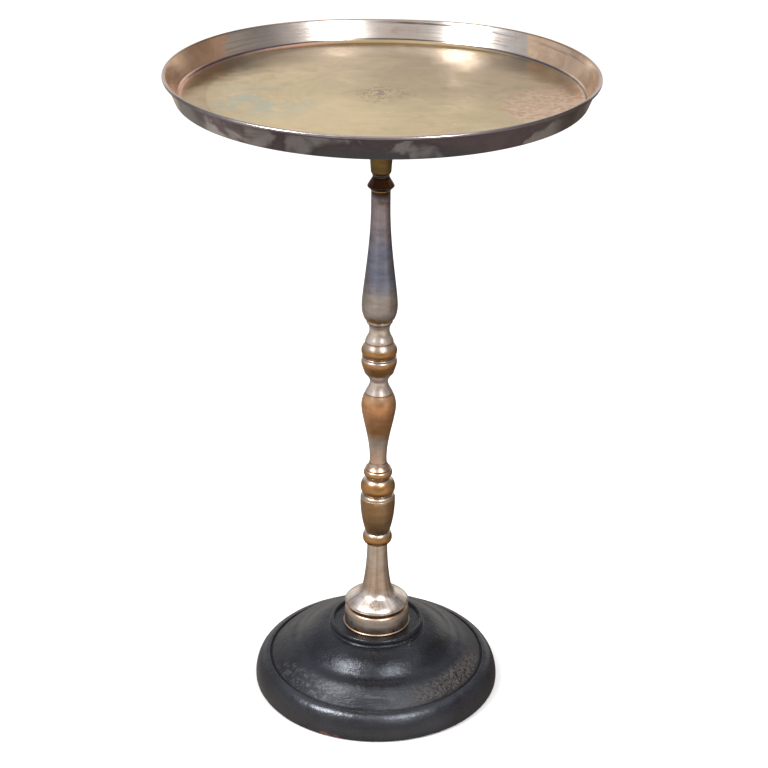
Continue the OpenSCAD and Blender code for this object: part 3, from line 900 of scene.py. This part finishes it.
def stage_floor():
    """A plain pale floor that the polished metal doesn't mirror."""
    mesh = bpy.data.meshes.new("floor")
    half = 14.0
    corners = [(-half, -half, 0), (half, -half, 0), (half, half, 0), (-half, half, 0)]
    mesh.from_pydata(corners, [], [(0, 1, 2, 3)])
    floor = bpy.data.objects.new("floor", mesh)
    bpy.context.scene.collection.objects.link(floor)
    t = Tree(bpy.data.materials.new("floor_white"))
    tone = t.mix(t.noise(t.place()[0], 3.0, 3.0), (0.86, 0.86, 0.86), (0.90, 0.90, 0.895))
    mesh.materials.append(t.surface({"Base Color": tone, "Roughness": 0.9}))
    floor.visible_glossy = False


WHITE = (1.14, 1.14, 1.14)        # what the camera and matt surfaces get from all round
WINDOW = (2.1, 2.1, 2.15)
CEILING = (1.1, 1.1, 1.14)


def studio():
    """World light: white for the camera and for matt surfaces. Polished metal mirrors a room instead:
    warm ground that darkens straight below, a bright backdrop between darker flanks, a dimmer band
    above it, a white ceiling, and two windows at the camera's side. z runs from -1 straight down to 1
    straight up, x to the right and y away from the camera."""
    world = bpy.data.worlds.new("studio")
    bpy.context.scene.world = world
    t = Tree(world)
    d = t.put("TexCoord", out=0)
    x, y, z = t.split(d)
    # Ground, from the sides to the front and back, then straight down
    sides = t.mix(t.step(x, -0.7, 0.7), (0.60, 0.52, 0.46), (0.33, 0.27, 0.225))
    ground = t.mix(t.step(y, 0.05, -0.85), sides, (0.84, 0.74, 0.65))
    behind = t.mix(t.step(x, -0.4, 0.3), (0.40, 0.36, 0.33), (0.16, 0.13, 0.11))
    ground = t.mix(t.step(y, 0.1, 0.65), ground, behind)
    ground = t.mix(t.step(z, -0.46, -0.82), ground, (0.19, 0.165, 0.155))
    # Walls, with the backdrop behind the table; the ground reaches higher at the flanks
    low_room = t.mix(t.step(x, -0.5, 0.7), (0.58, 0.54, 0.50), (0.36, 0.30, 0.26))
    flank = t.step(t.math("ABSOLUTE", x), 0.50, 0.66)
    backdrop = t.mix(t.step(x, 0.50, 0.78), (0.92, 0.88, 0.82), (0.18, 0.16, 0.15))
    backdrop = t.mix(t.step(x, -0.50, -0.76), backdrop, (0.36, 0.35, 0.37))
    room = t.mix(t.step(y, 0.0, 0.8), low_room, backdrop)
    horizon = t.minus(z, t.times(flank, 0.24))
    room = t.mix(t.step(horizon, -0.22, -0.02), ground, room)
    # The band above the walls, then the ceiling
    upper = t.mix(t.step(x, -0.5, 0.6), (0.38, 0.39, 0.44), (0.22, 0.21, 0.22))
    front = t.mix(t.step(x, -0.45, -0.25), (0.42, 0.38, 0.34), (0.56, 0.50, 0.47))
    upper = t.mix(t.step(y, -0.2, -0.6), upper, front)
    room = t.mix(t.step(z, 0.38, 0.5), room, upper)
    room = t.mix(t.step(z, 0.7, 0.9), room, CEILING)
    # A wide window to the camera's right and a narrow one to its left, placed by how far aside they are
    aside = t.math("DIVIDE", x, t.math("MAXIMUM", t.times(y, -1.0), 0.05))
    wide = t.times(t.step(aside, 0.74, 0.60), t.step(aside, 0.16, 0.28))
    wide = t.times(wide, t.times(t.step(z, 0.40, 0.50), t.step(z, 0.90, 0.78)))
    narrow = t.times(t.step(aside, -0.84, -0.98), t.step(aside, -1.40, -1.24))
    narrow = t.times(narrow, t.times(t.step(z, 0.40, 0.50), t.step(z, 0.76, 0.64)))
    room = t.mix(t.math("MAXIMUM", wide, narrow), room, WINDOW)
    shade = t.step(t.noise(d, 2.2, 2.0), 0.35, 0.65, 0.86, 1.1)
    room = t.mix(1.0, room, t.put("CombineColor", {0: shade, 1: shade, 2: shade}), "MULTIPLY")
    lamp = t.nodes.new("ShaderNodeLightPath")
    seen = t.mix(lamp.outputs["Is Glossy Ray"], WHITE, room)
    glow = t.put("Background", {"Color": seen, "Strength": 1.0})
    t.put("OutputWorld", {"Surface": glow})


def softbox(name, place, aim, wide, tall, power, warmth):
    """A soft rectangular light at place that faces aim: wide and tall in metres, power in watts."""
    data = bpy.data.lights.new(name, "AREA")
    data.shape = "RECTANGLE"
    data.size = wide
    data.size_y = tall
    data.energy = power
    data.color = warmth
    lamp = bpy.data.objects.new(name, data)
    lamp.location = place
    lamp.rotation_euler = (Vector(aim) - Vector(place)).to_track_quat("-Z", "Y").to_euler()
    lamp.visible_camera = False
    bpy.context.scene.collection.objects.link(lamp)


AIM = (0, 0, 0.45)
LAMP_TINT = (1.0, 0.98, 0.97)
stage_floor()
studio()
softbox("left_box", (-1.19, -0.56, 2.06), AIM, 0.34, 0.70, 34, LAMP_TINT)
softbox("right_box", (0.77, -1.06, 2.06), AIM, 0.30, 0.62, 19, LAMP_TINT)

CAMERA_BACK = 1.7158              # metres in front of the table's axis
CAMERA_UP = 1.1436                # metres above the floor
PITCH = math.radians(25.08)       # how far it looks down
ROLL = 0.0104                     # radians
SHIFT = 0.0066                    # sideways, in sensor widths
SENSOR = 36
LENS = 89.2
camera = bpy.data.objects.new("camera", bpy.data.cameras.new("camera"))
camera.data.sensor_width = SENSOR
camera.data.lens = LENS
camera.data.shift_x = SHIFT
camera.data.clip_start = 0.05
camera.matrix_world = (
    Matrix.Translation((0, -CAMERA_BACK, CAMERA_UP))
    @ Matrix.Rotation(math.pi / 2 - PITCH, 4, "X")
    @ Matrix.Rotation(ROLL, 4, "Z"))
bpy.context.scene.collection.objects.link(camera)
bpy.context.scene.camera = camera
bpy.context.scene.view_settings.view_transform = "Standard"
